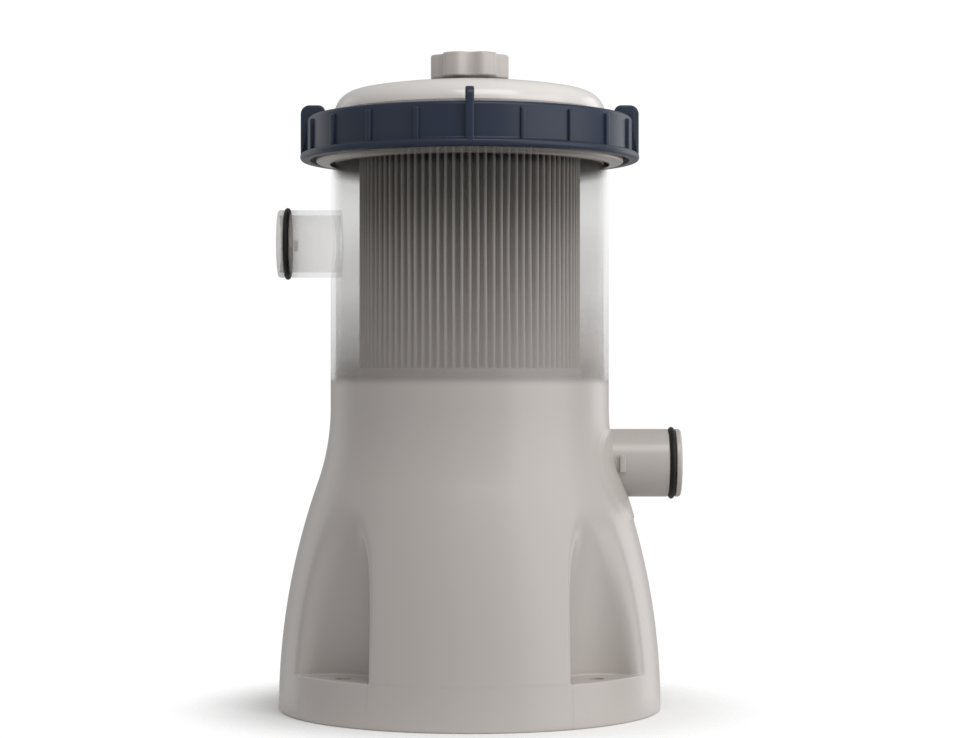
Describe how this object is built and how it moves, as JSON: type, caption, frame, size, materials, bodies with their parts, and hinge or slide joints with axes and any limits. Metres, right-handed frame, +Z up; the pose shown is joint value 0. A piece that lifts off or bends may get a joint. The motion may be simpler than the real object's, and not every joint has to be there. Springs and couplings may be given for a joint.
{
  "type": "cartridge filter pump",
  "caption": "Above-ground pool filter pump: a flared grey canister with side hose ports, a navy screw collar, a domed lid with a vent knob, a pleated cartridge and a magnet-driven impeller.",
  "frame": {"origin": "centre of the base underside, on the pump's axis", "axes": "+Z up along the canister's axis, +X towards the outlet, -X towards the inlet, -Y towards the front"},
  "size_m": [0.19, 0.1877, 0.3083],
  "materials": {
    "housing_plastic": "glossy light warm-grey moulded plastic",
    "lid_plastic": "glossy pale grey moulded plastic",
    "collar_plastic": "satin dark navy moulded plastic",
    "knob_plastic": "satin grey moulded plastic",
    "rubber": "matt black rubber",
    "inner_plastic": "plain grey moulded plastic",
    "filter_fabric": "grey-brown pleated non-woven filter cloth",
    "cap_plastic": "white soft plastic, cast round the pleats",
    "core_plastic": "white moulded plastic",
    "impeller_plastic": "dark grey glass-filled plastic",
    "ferrite": "dark sintered ferrite",
    "ceramic": "polished off-white ceramic",
    "lamination_steel": "stacked varnished electrical steel",
    "bobbin_plastic": "cream moulded plastic",
    "copper": "enamelled copper wire",
    "epoxy": "black potting compound",
    "black_plastic": "matt black moulded plastic",
    "base_plastic": "plain grey moulded plastic",
    "steel": "plain stainless steel"
  },
  "bodies": {
    "housing": {"canister": "housing_plastic", "skirt": "housing_plastic", "bolt_pockets": "housing_plastic", "inlet_spigot": "housing_plastic", "outlet_spigot": "housing_plastic", "inlet_o_ring": "rubber", "outlet_o_ring": "rubber", "pump_chamber": "inner_plastic", "pump_cover": "inner_plastic", "cover_seal": "rubber", "cover_screws": "steel", "cartridge_seat": "inner_plastic", "lid_seal": "rubber", "rotor_shaft": "ceramic", "lower_bearing": "rubber", "upper_bearing": "rubber", "stator_core": "lamination_steel", "coil_bobbins": "bobbin_plastic", "windings": "copper", "potting": "epoxy", "motor_pot": "black_plastic", "motor_screws": "steel", "base_plate": "base_plastic", "base_screws": "steel", "rubber_feet": "rubber", "cable_gland": "black_plastic", "gland_seal": "rubber", "gland_nut": "black_plastic", "gland_locknut": "black_plastic"},
    "lid": {"lid": "lid_plastic"},
    "collar": {"locking_collar": "collar_plastic"},
    "vent_jumper": {"vent_washer": "rubber"},
    "knob": {"vent_knob": "knob_plastic"},
    "cartridge": {"filter_media": "filter_fabric", "cartridge_top_cap": "cap_plastic", "cartridge_bottom_cap": "cap_plastic", "cartridge_core": "core_plastic"},
    "rotor": {"impeller": "impeller_plastic", "rotor_magnet": "ferrite"}
  },
  "joints": [
    {"name": "lid_lift", "type": "slide", "parent": "housing", "child": "lid", "axis": [0, 0, 1], "range_m": [0, 0.024]},
    {"name": "collar_turn", "type": "hinge", "parent": "lid", "child": "collar", "pos_m": [0, 0, 0.269], "axis": [0, 0, 1], "range_deg": [0, 360]},
    {"name": "vent_rise", "type": "slide", "parent": "lid", "child": "vent_jumper", "axis": [0, 0, 1], "range_m": [0, 0.003]},
    {"name": "knob_turn", "type": "hinge", "parent": "vent_jumper", "child": "knob", "pos_m": [0, 0, 0.303], "axis": [0, 0, 1], "range_deg": [0, 360]},
    {"name": "cartridge_lift", "type": "slide", "parent": "housing", "child": "cartridge", "axis": [0, 0, 1], "range_m": [0, 0.018]},
    {"name": "impeller_spin", "type": "hinge", "parent": "housing", "child": "rotor", "pos_m": [0, 0, 0.1], "axis": [0, 0, 1], "continuous": true}
  ],
  "couplings": [
    {"joint": "lid_lift", "follows": "collar_turn", "m_per_rad": 0.003819},
    {"joint": "cartridge_lift", "follows": "collar_turn", "m_per_rad": 0.002864},
    {"joint": "vent_rise", "follows": "knob_turn", "m_per_rad": 0.000477}
  ]
}
